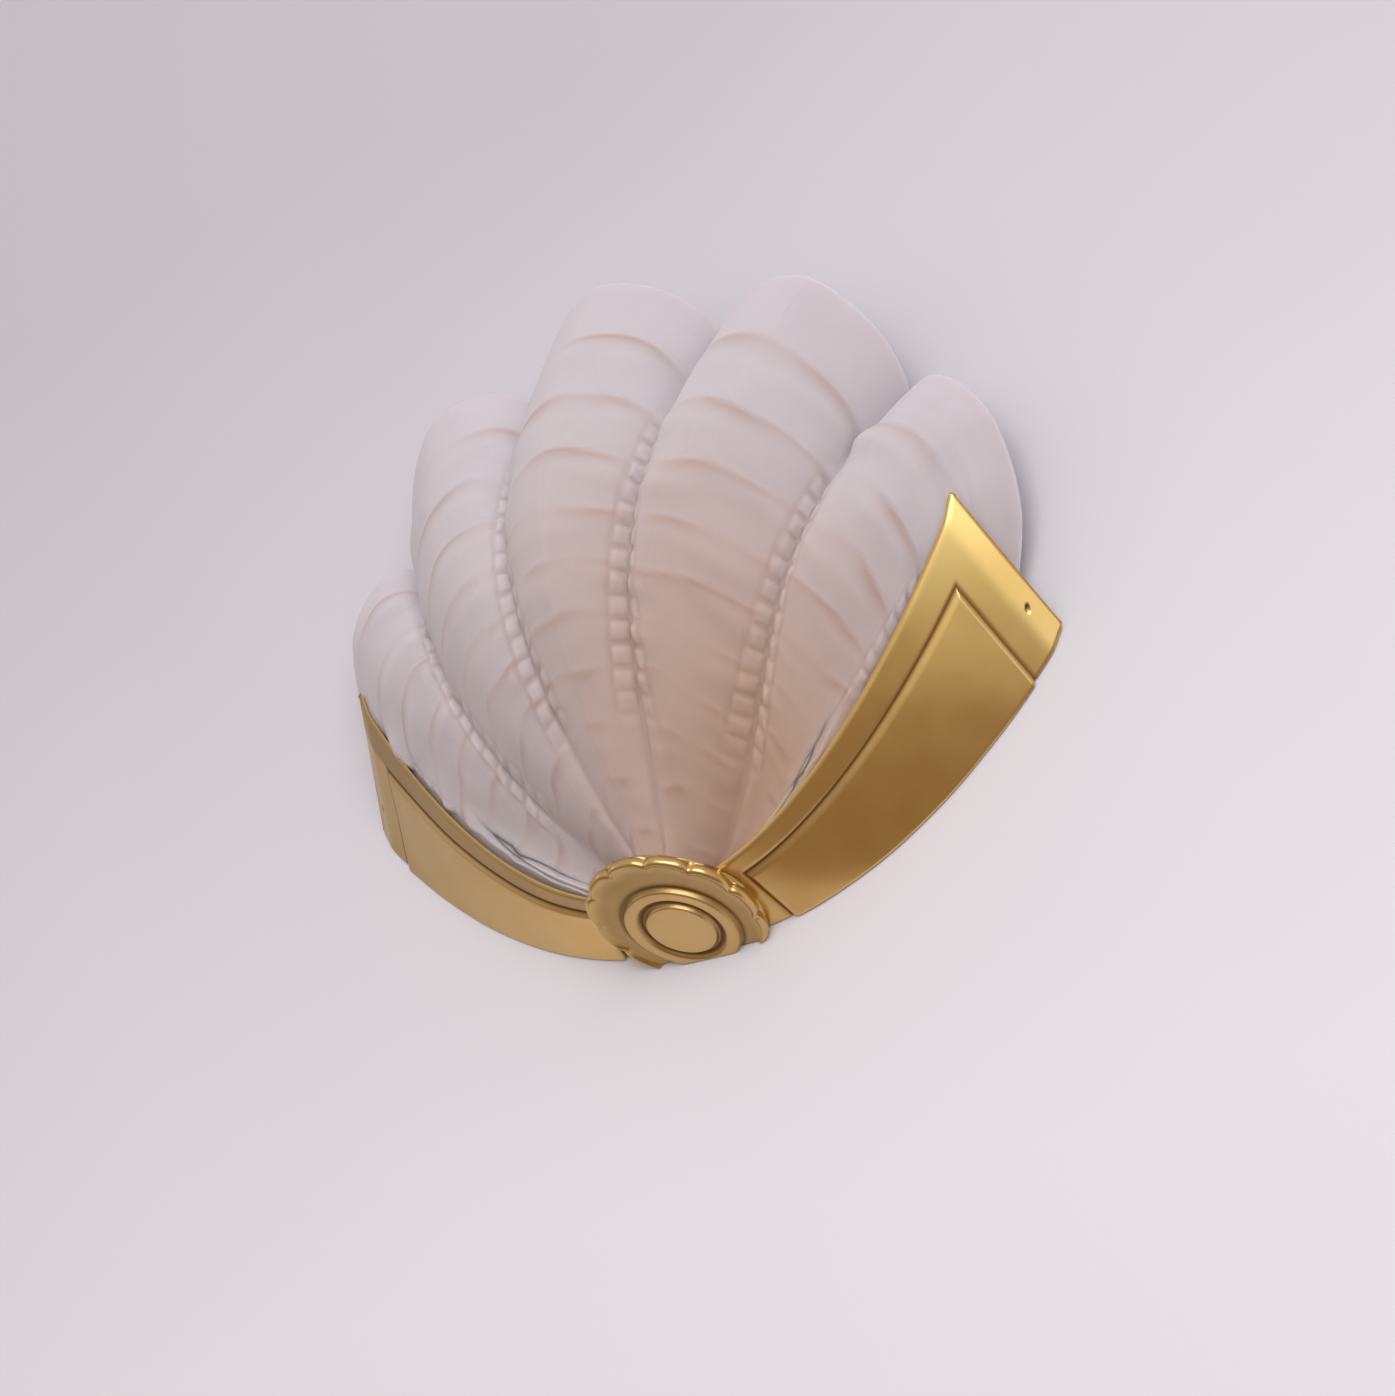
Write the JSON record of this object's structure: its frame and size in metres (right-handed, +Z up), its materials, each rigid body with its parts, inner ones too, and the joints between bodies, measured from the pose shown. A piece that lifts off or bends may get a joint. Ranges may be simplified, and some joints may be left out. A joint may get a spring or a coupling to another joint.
{
  "type": "shell wall light",
  "caption": "Fluted frosted-glass scallop shell seated in a curved brass band with a stepped rosette, fixed flat to a wall.",
  "frame": {"origin": "on the wall plane at the bottom centre, in the middle of the brass band's wall edge behind the rosette", "axes": "+Z up the wall, +Y into the wall, +X to the right as seen from the room; the light stands at negative Y"},
  "size_m": [0.3282, 0.0865, 0.2561],
  "materials": {
    "frosted_glass": "frosted, pale, slightly pinkish",
    "polished_brass": "polished and lacquered"
  },
  "bodies": {
    "root": {"glass_shell": "frosted_glass", "crescent_frame": "polished_brass"}
  },
  "joints": []
}
